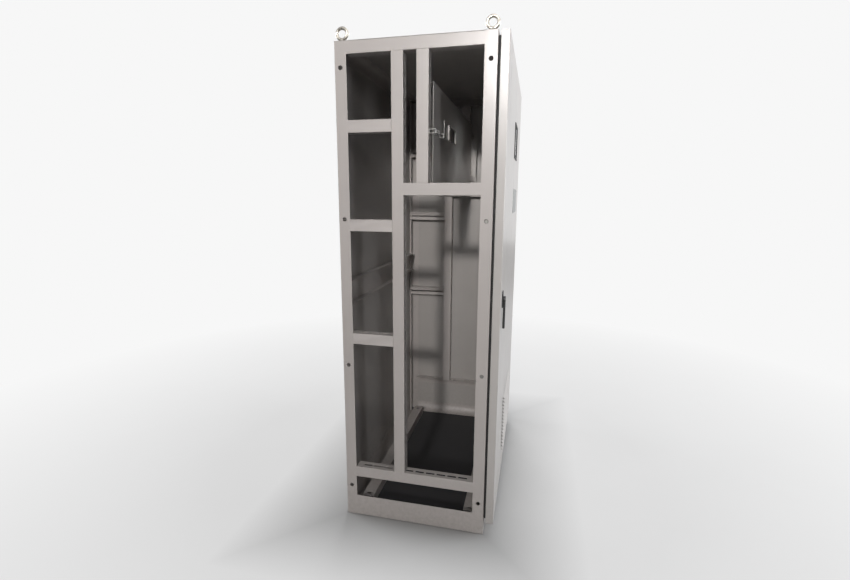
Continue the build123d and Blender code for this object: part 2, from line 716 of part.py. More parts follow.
def hinge_frame_leaves():
    """Lower knuckles on narrow leaves welded to the front post."""
    leaves = []
    for z in HINGE_HEIGHTS:
        top = z + HINGE_KNUCKLE_L
        leaf = block(FRAME_W - HINGE_LEAF_W, HINGE_X, FRAME_D, FRAME_D + HINGE_PLATE_T, z, top)
        leaf += rod_along_z(HINGE_X, HINGE_FACE, HINGE_KNUCKLE_R, z, top)
        leaf -= rod_along_z(HINGE_X, HINGE_FACE, HINGE_PIN_R, z - 1, top + 1)
        leaves.append(leaf)
    return Compound(children=leaves)


def hinge_door_leaves():
    """Upper knuckles on narrow leaves welded to the lip of the door."""
    leaves = []
    x1 = FRAME_W - DOOR_SIDE_GAP
    for z in HINGE_HEIGHTS:
        bottom = z + HINGE_KNUCKLE_L + RUN_CLEAR
        top = bottom + HINGE_KNUCKLE_L
        leaf = block(x1 - HINGE_LEAF_W + DOOR_SIDE_GAP, x1, DOOR_BACK - HINGE_PLATE_T, DOOR_BACK, bottom, top)
        leaf += block(HINGE_X - HINGE_EDGE, x1, HINGE_FACE, DOOR_BACK - HINGE_PLATE_T, bottom, top)
        leaf += rod_along_z(HINGE_X, HINGE_FACE, HINGE_KNUCKLE_R, bottom, top)
        leaf -= rod_along_z(HINGE_X, HINGE_FACE, HINGE_PIN_R + HINGE_PIN_CLEAR, bottom - 1, top + 1)
        leaves.append(leaf)
    return Compound(children=leaves)


def hinge_pins():
    """Pins fixed in the lower knuckles."""
    pins = []
    for z in HINGE_HEIGHTS:
        pins.append(rod_along_z(HINGE_X, HINGE_FACE, HINGE_PIN_R, z, z + 2 * HINGE_KNUCKLE_L))
    return Compound(children=pins)


def handle_base():
    """Plate and bush of the door handle."""
    half_w = HANDLE_BASE_W / 2
    half_h = HANDLE_BASE_H / 2
    back = DOOR_FACE - DOOR_SHEET
    base = block(HANDLE_INSET - half_w, HANDLE_INSET + half_w, DOOR_FACE, DOOR_FACE + HANDLE_BASE_T,
                 HANDLE_HEIGHT - half_h, HANDLE_HEIGHT + half_h)
    base += rod_along_y(HANDLE_INSET, HANDLE_HEIGHT, BUSH_R, back - HANDLE_BASE_T, DOOR_FACE)
    base -= rod_along_y(HANDLE_INSET, HANDLE_HEIGHT, SPINDLE_R + SHAFT_CLEAR, back - HANDLE_BASE_T - 1,
                        DOOR_FACE + HANDLE_BASE_T + 1)
    return base


def door_handle():
    """Lever with its hub, hanging down at rest."""
    base = DOOR_FACE + HANDLE_BASE_T + RUN_CLEAR
    lever = rod_along_y(HANDLE_INSET, HANDLE_HEIGHT, HUB_R, base, base + LEVER_T)
    half = LEVER_W / 2
    lever += block(HANDLE_INSET - half, HANDLE_INSET + half, base, base + LEVER_T, HANDLE_HEIGHT - LEVER_L,
                   HANDLE_HEIGHT)
    return lever


def handle_spindle():
    """Shaft from the lever to the lock cam, squared at its inner end."""
    outer = DOOR_FACE + HANDLE_BASE_T + RUN_CLEAR
    shoulder = DOOR_FACE - DOOR_SHEET - HANDLE_BASE_T
    spindle = rod_along_y(HANDLE_INSET, HANDLE_HEIGHT, SPINDLE_R, shoulder, outer)
    half = CAM_SQUARE / 2
    spindle += block(HANDLE_INSET - half, HANDLE_INSET + half, CAM_FACE, shoulder, HANDLE_HEIGHT - half,
                     HANDLE_HEIGHT + half)
    return spindle


def cam_pin_place(upper):
    """Place of the drive pin of the upper or the lower rod, measured from the spindle."""
    reach = CAM_PIN_ORBIT * math.sqrt(0.5)
    return (reach, -reach) if upper else (-reach, reach)


def lock_cam():
    """Disc on the spindle with two drive pins."""
    cam = rod_along_y(HANDLE_INSET, HANDLE_HEIGHT, CAM_R, CAM_FACE, CAM_FACE + CAM_T)
    half = CAM_SQUARE / 2
    cam -= block(HANDLE_INSET - half, HANDLE_INSET + half, CAM_FACE - 1, CAM_FACE + CAM_T + 1,
                 HANDLE_HEIGHT - half, HANDLE_HEIGHT + half)
    for upper in (False, True):
        dx, dz = cam_pin_place(upper)
        cam += rod_along_y(HANDLE_INSET + dx, HANDLE_HEIGHT + dz, CAM_PIN_R, CAM_FACE + CAM_T, ROD_FACE + ROD_T)
    return cam


def rod_centre(upper):
    """Distance of a lock rod from the open side."""
    return HANDLE_INSET + (CAM_PIN_ORBIT if upper else -CAM_PIN_ORBIT)


def rod_arm(upper):
    """Heights of the two faces of a lock rod's arm, the outer one last, and of the end of its tongue."""
    sign = 1 if upper else -1
    end = (TOP_RAIL if upper else SILL_TOP) - sign * ROD_END_CLEAR
    outer = end - sign * ROD_TRAVEL
    return outer - sign * TONGUE_ARM, outer, end


def lock_rod(upper):
    """Flat bar with a cross slot for its drive pin, an arm through the gap, and a tongue plate on the arm."""
    dx, dz = cam_pin_place(upper)
    sign = 1 if upper else -1
    x = rod_centre(upper)
    pin_z = HANDLE_HEIGHT + dz
    slot_h = CAM_PIN_R + ROD_SLOT_CLEAR
    near = HANDLE_INSET + dx - sign * slot_h
    far = x + sign * slot_h
    arm_in, arm_out, end = rod_arm(upper)
    half = ROD_W / 2
    eye = slot_h + TONGUE_T
    rod = block(x - half, x + half, ROD_FACE, ROD_FACE + ROD_T, pin_z - sign * eye, arm_out)
    rod += block(near - sign * ROD_EYE_WALL, far + sign * TONGUE_T, ROD_FACE, ROD_FACE + ROD_T, pin_z - eye,
                 pin_z + eye)
    rod -= block(near, far, ROD_FACE - 1, ROD_FACE + ROD_T + 1, pin_z - slot_h, pin_z + slot_h)
    tongue_face = FRAME_D - SHEET - TONGUE_GAP
    rod += block(x - half, x + half, tongue_face, ROD_FACE, arm_in, arm_out)
    tongue = block(x - half, x + half, tongue_face - TONGUE_T, tongue_face, arm_in, end)
    return Compound(children=[rod, tongue])


def rod_guides():
    """Folded straps on the inside of the leaf that hold the rods."""
    straps = []
    back = DOOR_FACE - DOOR_SHEET
    sheet = GUIDE_SHEET
    inner = ROD_W / 2 + RUN_CLEAR
    for upper in (True, False):
        x = rod_centre(upper)
        sign = 1 if upper else -1
        for middle in (HANDLE_HEIGHT + sign * GUIDE_FROM_HANDLE, rod_arm(upper)[0] - sign * GUIDE_FROM_TONGUE):
            face = ROD_FACE - RUN_CLEAR
            z0 = middle - GUIDE_H / 2
            strap = block(x - inner - sheet, x + inner + sheet, face - sheet, back, z0, z0 + GUIDE_H)
            strap -= block(x - inner, x + inner, face, back + 1, z0 - 1, z0 + GUIDE_H + 1)
            straps.append(strap)
    return Compound(children=straps)


def build_parts():
    """Every sub-part by its name."""
    parts = {
        "corner_post_front_open": corner_post(True),
        "corner_post_rear_open": corner_post(False),
        "mid_post_open": box_post(MID_POST_OFFSET, SILL_TOP, TOP_RAIL),
        "upper_post_open": box_post(UPPER_POST_OFFSET, FRONT_BAY_RAIL_HEIGHT + MEMBER, TOP_RAIL),
        "side_top_rail_open": side_top_rail(),
        "side_bottom_rail_open": side_bottom_rail(),
        "side_kick_rail_open": side_kick_rail(KICK_H),
        "rear_bay_rails_open": rear_bay_rails(),
        "front_bay_rail_open": front_bay_rail(),
    }
    for name in list(parts):
        parts[name.replace("_open", "_closed")] = mirrored(parts[name])
    parts["side_kick_rail_closed"] = mirrored(side_kick_rail(CLOSED_KICK_H))
    parts.update({
        "front_top_rail": cross_angle(True, TOP_RAIL, INNER_H, True, MEMBER),
        "rear_top_rail": cross_angle(False, TOP_RAIL, INNER_H, True, MEMBER),
        "front_bottom_rail": cross_angle(True, SILL, SILL_TOP, False, MEMBER),
        "front_kick_rail": cross_angle(True, 0, KICK_H, False, FRAME_D / 2 - ANCHOR_Y / 2 - BEAM_W / 2),
        "rear_kick_rail": cross_angle(False, 0, KICK_H, False, FRAME_D / 2 - ANCHOR_Y / 2 - BEAM_W / 2),
        "rear_mid_rail": rear_mid_rail(),
        "base_beam_front": base_beam(True),
        "base_beam_rear": base_beam(False),
        "base_bolts": base_bolts(),
        "roof_panel": roof_panel(),
        "corner_gussets": corner_gussets(),
        "lifting_eyebolts": lifting_eyebolts(),
        "eyebolt_nuts": eyebolt_nuts(),
        "threaded_inserts": threaded_inserts(),
        "rear_cover_lower": rear_cover(False),
        "rear_cover_upper": rear_cover(True),
        "rear_cover_screws": rear_cover_screws(),
        "side_panel": side_panel(),
        "side_panel_screws": side_panel_screws(),
        "inner_panel": inner_panel(),
        "cutout_frame": cutout_frame(),
        "panel_hooks": panel_hooks(),
        "slide_bolt_guides": slide_bolt_guides(),
        "slide_bolt": slide_bolt(),
        "slide_bolt_keeper": slide_bolt_keeper(),
        "front_door": front_door(),
        "door_stiffeners": door_stiffeners(),
        "door_gasket": door_gasket(),
        "window_seal": window_seal(),
        "window_pane": window_pane(),
        "blank_plate": blank_plate(),
        "hinge_frame_leaves": hinge_frame_leaves(),
        "hinge_door_leaves": hinge_door_leaves(),
        "hinge_pins": hinge_pins(),
        "handle_base": handle_base(),
        "door_handle": door_handle(),
        "handle_spindle": handle_spindle(),
        "lock_cam": lock_cam(),
        "upper_lock_rod": lock_rod(True),
        "lower_lock_rod": lock_rod(False),
        "rod_guides": rod_guides(),
    })
    return parts


os.makedirs("parts", exist_ok=True)
for node, shape in build_parts().items():
    export_step(shape, "parts/" + node + ".step")
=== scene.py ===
import json
import math

import bmesh
import bpy
from mathutils import Matrix, Vector


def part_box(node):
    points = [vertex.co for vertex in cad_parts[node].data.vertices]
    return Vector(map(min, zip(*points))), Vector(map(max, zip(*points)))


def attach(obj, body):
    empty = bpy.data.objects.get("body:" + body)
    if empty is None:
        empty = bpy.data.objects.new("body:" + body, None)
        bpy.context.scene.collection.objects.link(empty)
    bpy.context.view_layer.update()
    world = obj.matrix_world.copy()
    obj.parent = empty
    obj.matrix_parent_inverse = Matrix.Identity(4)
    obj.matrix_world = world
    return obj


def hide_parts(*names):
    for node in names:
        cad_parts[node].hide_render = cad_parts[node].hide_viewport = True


# A floor-standing switchboard section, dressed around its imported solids.
# Lengths are in metres and angles in radians where no other unit is named. The door faces -Y,
# the open joining side faces -X, and Z is up from the floor.

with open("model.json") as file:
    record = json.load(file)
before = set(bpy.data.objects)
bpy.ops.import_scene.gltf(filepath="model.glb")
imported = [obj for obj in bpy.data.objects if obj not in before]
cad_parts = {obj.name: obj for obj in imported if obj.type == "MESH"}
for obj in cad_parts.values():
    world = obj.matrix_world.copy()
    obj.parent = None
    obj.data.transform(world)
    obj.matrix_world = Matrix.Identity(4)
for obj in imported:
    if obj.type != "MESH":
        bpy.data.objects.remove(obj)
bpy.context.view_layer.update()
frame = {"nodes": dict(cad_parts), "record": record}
SLOT_OF = {entry["node"]: entry["material_slot"] for entry in frame["record"]["subparts"]}
BODY_OF = {node: body for body, nodes in frame["record"]["behaviour"]["bodies"].items()
           for node in nodes}

# Bare frame, without its door
HALF_WIDTH = 0.6
HALF_DEPTH = 0.325

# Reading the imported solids. Above the cosine SQUARE_ON a direction counts as square to a face.
SOLID_MERGE = 2e-6
LEVEL_ANGLE = 0.01
JOIN_ANGLE = math.radians(0.6)
CORNER_DEGREES = 50
SQUARE_ON = 0.9
TINY = 1e-6

# Folded sheet
SHEET_BEND = 0.0024
DOOR_BEND = 0.0012
SHEET_RIM = 0.00035
WIDE_FACE = 0.008
SHORTEST_BEND = 0.008
SHORTEST_RIM = 0.004

# Rows of slots in the posts and rails, narrow and short in the solids
SLOT_ROW_X = 0.575
SLOT_PITCH = 0.05
PLAIN_SLOT_HALF = 0.004
WIDE_SLOT_HALF = 0.0062
SLOT_END_GAIN = 0.0025
PLACE_SLACK = 2e-5

# Louvres: where the solids have them, and how the field is redrawn
LOUVRE_FIELD_HALF = 0.155
LOUVRE_FIELD_LOW = 0.255
LOUVRE_FIELD_HIGH = 0.565
LOUVRE_FOOT = 0.265
LOUVRE_DROP = 0.065
LOUVRE_WIDER = 4 / 3
LOUVRE_TALLER = 1.05
LOUVRE_PROUDER = 2
PROUD_OF_FACE = 1e-5

# Turned fittings, as (radius, height) outlines. The collar's heights start at the roof.
TURNED_MERGE = 1e-6
EYE_RADIUS = 0.0215
EYE_WIRE = 0.0064
EYE_BELOW_TOP = 0.028
SHANK_RADIUS = 0.0059
SHANK_TIP_RADIUS = 0.0052
SHANK_TIP = 0.001
COLLAR = ((0.0148, 0), (0.015, 0.0006), (0.0147, 0.003), (0.0125, 0.0045), (0.0095, 0.0065),
          (0.0082, 0.0095), (0.0082, 0.013), (0.0074, 0.0165), (0, 0.0168))
INSERT_SLEEVE = ((0.0043, 0.0004), (0.0048, 0.0001), (0.0067, 0.0001), (0.0084, 0.0019),
                 (0.0086, 0.0022), (0.0118, 0.0022), (0.0118, 0.003), (0.0088, 0.003),
                 (0.0088, 0.0158), (0.0043, 0.0158), (0.0043, 0.0004))
INSERT_SCREW = ((0, 0.0024), (0.0013, 0.0024), (0.0016, 0.0009), (0.0038, 0.0009),
                (0.0042, 0.0014), (0.0042, 0.006), (0, 0.006))
RIVET_HEAD = ((0, 0), (0.0034, 0), (0.0033, 0.0006), (0.0026, 0.0013), (0.0014, 0.0018),
              (0, 0.002))
RIVET_INSET = 0.01
FINE_EDGE = 0.0003

# Flanged hexagon screws
FLANGE_PER_FLATS = 0.66
FLANGE_RIM = 0.0008
FLANGE_TOP = 0.0013
FLANGE_SLOPE = 0.0007
HEAD_START = 0.0009
HEAD_CROWN = 0.0013
HEAD_EDGE = 0.00025
HEAD_EDGE_ANGLE = 0.3

# Strip loops of the slide bolt
STRIP_WALL = 0.0018
STRIP_CORNER = 0.0045
STRIP_FOOT = 0.0015

# Inner panel
PANEL_SHEET = 0.002
PANEL_REACH = 0.02
PANEL_FLANGE = 0.027
PANEL_RETURN = (0.07, 0.072)
PANEL_RIM = 0.0005
PANEL_RIM_ANGLE = 1.2

# Finishes
SETTLED_DUST = (0.2, 0.18, 0.155, 1)
DUST_TOP = 0.34
DUST_COVER = 0.3
DUST_ROUGHNESS = 0.25
HAND_SMUDGE = (0.3, 0.28, 0.26, 1)
SMUDGE_COVER = 0.06
SMUDGE_ROUGHNESS = 0.09
PLATING_BLOOM = (0.44, 0.42, 0.36, 1)
MOULD_HAZE = (0.16, 0.15, 0.14, 1)

# Floor and background
FLOOR_PALE = (0.33, 0.327, 0.323, 1)
FLOOR_DULL = (0.30, 0.297, 0.293, 1)
# Floor colour inside the base: painted shade, standing in for the shade that the cabinet's
# enclosure casts on the floor
PAINTED_SHADE_UNDER_BASE = (0.045, 0.045, 0.048, 1)
FLOOR_ROUGHNESS = 0.7
FLOOR_SIZE = 14.0
# Span past the base's edge over which the painted shade gives way to the floor's own colour
PAINTED_SHADE_EDGE = (-0.03, 0.01)
LIFT_REACH = 0.45
FLOOR_LIFT = 0.6
FLOOR_FADE = (1.2, 3.6)
BACKGROUND_WHITE = 0.93

# Light
SOFT_TINT = (0.86, 0.93, 1.0, 1)
SOFT_STRENGTH = 0.05
GLOSS_SHARE = 0.8
LAMPS = (
    # name, place, target, size, watts, colour, spread in degrees; the post gleam is what the
    # top of the near front post and of the door's edge reflect
    ("key", (-8.6, -0.24, 4.1), (0, 0, 2.5), (0.5, 0.5), 46, (1, 0.965, 0.94), 62),
    ("near_top", (-3.7, 0.5, 3.9), (-0.6, 0, 2.0), (0.9, 0.9), 1.6, (1, 0.98, 0.96), 90),
    ("post_gleam", (-4.4, -0.62, 3.2), (-0.6, -0.3, 2.1), (1.2, 1.0), 9, (0.97, 0.98, 1), 80),
    ("front_left", (-3.2, -3.4, 2.6), (-0.6, -0.3, 1.6), (0.5, 1.6), 7, (0.97, 0.98, 1), 100),
    ("overhead", (1.0, -1.6, 5.0), (0.2, -0.4, 0.8), (3.0, 3.0), 80, (0.96, 0.98, 1), 180),
    ("door_side", (0.9, -4.4, 2.5), (0, -0.3, 1.2), (2.4, 2.4), 170, (0.95, 0.97, 1), 180),
    ("rear_side", (0.6, 4.6, 2.8), (0.1, 0.3, 1.1), (2.4, 2.4), 170, (0.97, 0.98, 1), 180),
    ("closed_side", (4.8, 0.7, 2.8), (0.6, 0, 1.1), (2.2, 2.2), 150, (0.97, 0.98, 1), 180),
)

# Camera, at the photograph's place. The lens and the sensor are in millimetres.
LENS = 19.80
SENSOR = 36.0
CLIP_NEAR = 0.05
CLIP_FAR = 60.0
CAMERA_PLACE = (-2.4743, -0.4925, 1.4877)
CAMERA_YAW = math.radians(13.22)
CAMERA_PITCH = math.radians(11.06)
CAMERA_ROLL = math.radians(0.27)


def feed(tree, socket, value):
    """Gives a socket a plain value, or links it to the output of another node."""
    if isinstance(value, bpy.types.NodeSocket):
        tree.links.new(value, socket)
    else:
        socket.default_value = value


def noise(tree, vector, scale, detail, rough):
    """Noise pattern from nought to one."""
    node = tree.nodes.new("ShaderNodeTexNoise")
    node.inputs["Scale"].default_value = scale
    node.inputs["Detail"].default_value = detail
    node.inputs["Roughness"].default_value = rough
    tree.links.new(vector, node.inputs["Vector"])
    return node.outputs["Fac"]


def remap(tree, value, span, into):
    """Takes a value from one span of numbers into another, and holds it at the ends."""
    node = tree.nodes.new("ShaderNodeMapRange")
    for label, amount in zip(("From Min", "From Max", "To Min", "To Max"), (*span, *into)):
        feed(tree, node.inputs[label], amount)
    tree.links.new(value, node.inputs["Value"])
    return node.outputs["Result"]


def blend_colour(tree, factor, first, second, mode="MIX"):
    """Second colour laid over the first by a factor."""
    node = tree.nodes.new("ShaderNodeMix")
    node.data_type = "RGBA"
    node.blend_type = mode
    feed(tree, node.inputs["Factor"], factor)
    feed(tree, node.inputs[6], first)
    feed(tree, node.inputs[7], second)
    return node.outputs[2]


def arithmetic(tree, operation, *values):
    """One sum or comparison on one or two values."""
    node = tree.nodes.new("ShaderNodeMath")
    node.operation = operation
    for socket, value in zip(node.inputs, values):
        feed(tree, socket, value)
    return node.outputs[0]


def new_finish(name, inputs):
    """Shader node group that gives a colour, a roughness and a normal from named inputs."""
    group = bpy.data.node_groups.new(name, "ShaderNodeTree")
    for label, value in inputs.items():
        kind = "NodeSocketColor" if isinstance(value, tuple) else "NodeSocketFloat"
        socket = group.interface.new_socket(label, in_out="INPUT", socket_type=kind)
        socket.default_value = value
    for label, kind in (("Colour", "Color"), ("Roughness", "Float"), ("Normal", "Vector")):
        group.interface.new_socket(label, in_out="OUTPUT", socket_type="NodeSocket" + kind)
    given = group.nodes.new("NodeGroupInput").outputs
    result = group.nodes.new("NodeGroupOutput").inputs
    place = group.nodes.new("ShaderNodeTexCoord").outputs["Object"]
    return group, given, result, place


def add_relief(group, result, height, amount, share, depth):
    """Bump of a fine pattern, as strong as the material asks."""
    bump = group.nodes.new("ShaderNodeBump")
    bump.inputs["Distance"].default_value = depth
    feed(group, bump.inputs["Strength"], arithmetic(group, "MULTIPLY", amount, share))
    feed(group, bump.inputs["Height"], height)
    feed(group, result["Normal"], bump.outputs["Normal"])


def make_powder_coat():
    """Baked paint: orange-peel surface, faint mottling, handling smudges, dust near the floor."""
    group, given, result, place = new_finish(
        "powder_coat",
        {"Tone": (0.5, 0.5, 0.5, 1), "Base Roughness": 0.35, "Peel": 1.0, "Dust": 1.0})
    split = group.nodes.new("ShaderNodeSeparateXYZ")
    group.links.new(place, split.inputs[0])
    mottle = noise(group, place, scale=2.6, detail=4.0, rough=0.6)
    shade = remap(group, mottle, (0.3, 0.7), (0.955, 1.035))
    tone = blend_colour(group, 1.0, given["Tone"], shade, "MULTIPLY")
    smudge = noise(group, place, scale=9.0, detail=5.0, rough=0.65)
    smudge = remap(group, smudge, (0.55, 0.75), (0.0, 1.0))
    low_down = remap(group, split.outputs["Z"], (0.0, DUST_TOP), (1.0, 0.0))
    speckle = noise(group, place, scale=55.0, detail=6.0, rough=0.7)
    speckle = remap(group, speckle, (0.38, 0.66), (0.1, 1.0))
    dust = arithmetic(group, "MULTIPLY", low_down, speckle)
    dust = arithmetic(group, "MULTIPLY", dust, given["Dust"])
    dust_cover = arithmetic(group, "MULTIPLY", dust, DUST_COVER)
    dusty = blend_colour(group, dust_cover, tone, SETTLED_DUST)
    smudge_cover = arithmetic(group, "MULTIPLY", smudge, SMUDGE_COVER)
    feed(group, result["Colour"], blend_colour(group, smudge_cover, dusty, HAND_SMUDGE))
    smudge_rough = arithmetic(group, "MULTIPLY", smudge, SMUDGE_ROUGHNESS)
    dust_rough = arithmetic(group, "MULTIPLY", dust, DUST_ROUGHNESS)
    rough = arithmetic(group, "ADD", given["Base Roughness"], smudge_rough)
    feed(group, result["Roughness"], arithmetic(group, "ADD", rough, dust_rough))
    peel = noise(group, place, scale=260.0, detail=2.0, rough=0.5)
    add_relief(group, result, peel, given["Peel"], share=0.35, depth=0.0004)
    return group


def make_plated_metal():
    """Zinc or bright plating: cloudy bloom, uneven gloss and fine scuffs."""
    group, given, result, place = new_finish(
        "plated_metal", {"Tone": (0.6, 0.6, 0.6, 1), "Base Roughness": 0.3, "Grain": 1.0})
    cloud = noise(group, place, scale=38.0, detail=4.0, rough=0.6)
    bloom_cover = remap(group, cloud, (0.4, 0.7), (0.0, 0.35))
    bloom = blend_colour(group, bloom_cover, given["Tone"], PLATING_BLOOM)
    feed(group, result["Colour"], bloom)
    uneven = remap(group, cloud, (0.35, 0.7), (-0.06, 0.16))
    feed(group, result["Roughness"], arithmetic(group, "ADD", given["Base Roughness"], uneven))
    scuff = noise(group, place, scale=420.0, detail=3.0, rough=0.6)
    add_relief(group, result, scuff, given["Grain"], share=0.3, depth=0.0003)
    return group


def make_moulded_surface():
    """Moulded plastic or rubber: fine mould grain and a pale haze."""
    group, given, result, place = new_finish(
        "moulded_surface", {"Tone": (0.02, 0.02, 0.02, 1), "Base Roughness": 0.45, "Grain": 1.0})
    haze = noise(group, place, scale=24.0, detail=5.0, rough=0.65)
    haze_cover = remap(group, haze, (0.5, 0.8), (0.0, 0.12))
    hazy = blend_colour(group, haze_cover, given["Tone"], MOULD_HAZE)
    feed(group, result["Colour"], hazy)
    uneven = remap(group, haze, (0.3, 0.7), (-0.05, 0.12))
    feed(group, result["Roughness"], arithmetic(group, "ADD", given["Base Roughness"], uneven))
    grain = noise(group, place, scale=900.0, detail=2.0, rough=0.5)
    add_relief(group, result, grain, given["Grain"], share=0.4, depth=0.0002)
    return group


POWDER_COAT = make_powder_coat()
PLATED_METAL = make_plated_metal()
MOULDED_SURFACE = make_moulded_surface()


def surface(name, group, tone, values, **plain):
    """Material that sends one of the shared groups through a Principled surface."""
    material = bpy.data.materials.new(name)
    material.use_nodes = True
    tree = material.node_tree
    shader = tree.nodes["Principled BSDF"]
    effect = tree.nodes.new("ShaderNodeGroup")
    effect.node_tree = group
    effect.inputs["Tone"].default_value = (*tone, 1)
    for label, value in values.items():
        effect.inputs[label].default_value = value
    tree.links.new(effect.outputs["Colour"], shader.inputs["Base Color"])
    tree.links.new(effect.outputs["Roughness"], shader.inputs["Roughness"])
    tree.links.new(effect.outputs["Normal"], shader.inputs["Normal"])
    for label, value in plain.items():
        shader.inputs[label.replace("_", " ")].default_value = value
    return material


SLOT_MATERIALS = {}
for slot, tone, roughness, peel, dust in (
    ("frame_paint", (0.47, 0.437, 0.418), 0.28, 0.5, 1.0),
    ("cover_paint", (0.43, 0.408, 0.39), 0.32, 0.5, 0.8),
    ("door_paint", (0.50, 0.475, 0.455), 0.3, 0.12, 0.8),
    ("panel_paint", (0.45, 0.425, 0.405), 0.3, 0.08, 0.0),
):
    SLOT_MATERIALS[slot] = surface(
        slot, POWDER_COAT, tone, {"Base Roughness": roughness, "Peel": peel, "Dust": dust})
for slot, group, tone, roughness, grain, plain in (
    ("zinc_plate", PLATED_METAL, (0.27, 0.27, 0.265), 0.5, 1.0, {"Metallic": 1.0}),
    ("bright_zinc", PLATED_METAL, (0.4, 0.375, 0.335), 0.28, 0.4, {"Metallic": 1.0}),
    ("blank_alloy", PLATED_METAL, (0.33, 0.335, 0.34), 0.5, 0.3, {"Metallic": 1.0}),
    ("black_plastic", MOULDED_SURFACE, (0.018, 0.018, 0.019), 0.42, 1.0, {}),
    ("seal_rubber", MOULDED_SURFACE, (0.022, 0.022, 0.022), 0.62, 0.6, {}),
    ("clear_pane", MOULDED_SURFACE, (0.86, 0.9, 0.9), 0.04, 0.0,
     {"IOR": 1.49, "Transmission_Weight": 1.0}),
):
    SLOT_MATERIALS[slot] = surface(
        slot, group, tone, {"Base Roughness": roughness, "Grain": grain}, **plain)

for node, slot in SLOT_OF.items():
    packed_mesh = frame["nodes"][node].data
    packed_mesh.materials.clear()
    packed_mesh.materials.append(SLOT_MATERIALS[slot])


def whole_faces(node):
    """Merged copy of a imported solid, with its flat faces joined again."""
    bm = bmesh.new()
    bm.from_mesh(frame["nodes"][node].data)
    bmesh.ops.remove_doubles(bm, verts=bm.verts, dist=SOLID_MERGE)
    bmesh.ops.dissolve_limit(bm, angle_limit=JOIN_ANGLE, verts=bm.verts, edges=bm.edges)
    return bm


def flat_widths(bm):
    """Narrow extent of the flat region that each face belongs to."""
    width_of = {}
    for face in bm.faces:
        if face in width_of:
            continue
        members = {face}
        waiting = [face]
        while waiting:
            for edge in waiting.pop().edges:
                if edge.calc_face_angle(math.pi) < LEVEL_ANGLE:
                    fresh = [other for other in edge.link_faces if other not in members]
                    members.update(fresh)
                    waiting.extend(fresh)
        area = sum(f.calc_area() for f in members)
        corners = [v.co for f in members for v in f.verts]
        spans = []
        for axis in (Vector((1, 0, 0)), Vector((0, 1, 0)), Vector((0, 0, 1))):
            if abs(axis.dot(face.normal)) < SQUARE_ON:
                along = [c.dot(axis) for c in corners]
                spans.append(max(along) - min(along))
        width = min(spans + [area / max(max(spans), TINY)])
        for f in members:
            width_of[f] = width
    return width_of


def outer_edges(bm, wide, least_length):
    """Outward edges: bends, where two wide faces meet, and cut rims, beside one wide face."""
    width_of = flat_widths(bm)
    bends = []
    rims = []
    for edge in bm.edges:
        if edge.calc_face_angle(0.0) < math.radians(CORNER_DEGREES) or not edge.is_convex:
            continue
        if edge.calc_length() < least_length:
            continue
        first, second = (width_of[f] for f in edge.link_faces)
        if min(first, second) > wide:
            bends.append(edge)
        elif max(first, second) > wide:
            rims.append(edge)
    return bends, rims


def ease(bm, geom, radius, segments, affect="EDGES"):
    """Rounds or breaks edges, or takes corners down."""
    if geom:
        bmesh.ops.bevel(bm, geom=geom, offset=radius, offset_type="OFFSET", segments=segments,
                        profile=0.5, affect=affect, clamp_overlap=True, material=-1)


def put_in_place(name, bm, node, sharp_degrees=CORNER_DEGREES):
    """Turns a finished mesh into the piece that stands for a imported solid."""
    mesh = bpy.data.meshes.new(name)
    bm.to_mesh(mesh)
    bm.free()
    mesh.polygons.foreach_set("use_smooth", [True] * len(mesh.polygons))
    mesh.set_sharp_from_angle(angle=math.radians(sharp_degrees))
    piece = bpy.data.objects.new(name, mesh)
    bpy.context.scene.collection.objects.link(piece)
    mesh.materials.append(SLOT_MATERIALS[SLOT_OF[node]])
    shading = piece.modifiers.new("even_normals", "WEIGHTED_NORMAL")
    shading.keep_sharp = True
    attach(piece, BODY_OF[node])
    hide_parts(node)


def open_out_slots(bm, upright):
    """Widens and lengthens the slots of a row to the size that the photograph shows."""
    for vert in bm.verts:
        middle = math.copysign(SLOT_ROW_X, vert.co.x)
        aside = vert.co.x - middle
        if abs(abs(aside) - PLAIN_SLOT_HALF) > PLACE_SLACK:
            continue
        vert.co.x = middle + math.copysign(WIDE_SLOT_HALF, aside)
        along = vert.co.z if upright else HALF_DEPTH - vert.co.y
        from_slot = along - round(along / SLOT_PITCH) * SLOT_PITCH
        gain = math.copysign(SLOT_END_GAIN, from_slot)
        if upright:
            vert.co.z += gain
        else:
            vert.co.y -= gain


def turn_open_side(bm, node):
    """Turns a channel's open side from the front to the rear, about its own middle."""
    low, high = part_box(node)
    about_middle = Matrix.Translation((0, -(low.y + high.y) / 2, 0))
    bmesh.ops.scale(bm, vec=(1, -1, 1), space=about_middle, verts=list(bm.verts))
    bmesh.ops.recalc_face_normals(bm, faces=list(bm.faces))


def settle_louvres(bm):
    """Draws the field of louvres wider, lower and further out than in the plain solid."""
    field = [v for v in bm.verts if abs(v.co.x) < LOUVRE_FIELD_HALF
             and LOUVRE_FIELD_LOW < v.co.z < LOUVRE_FIELD_HIGH]
    face = min(v.co.y for v in bm.verts if v not in field)
    hoods = [v for v in field if v.co.y < face - PROUD_OF_FACE]
    bmesh.ops.scale(bm, vec=(LOUVRE_WIDER, 1, LOUVRE_TALLER),
                    space=Matrix.Translation((0, 0, -LOUVRE_FOOT)), verts=field)
    bmesh.ops.translate(bm, vec=(0, 0, -LOUVRE_DROP), verts=field)
    bmesh.ops.scale(bm, vec=(1, LOUVRE_PROUDER, 1),
                    space=Matrix.Translation((0, -face, 0)), verts=hoods)


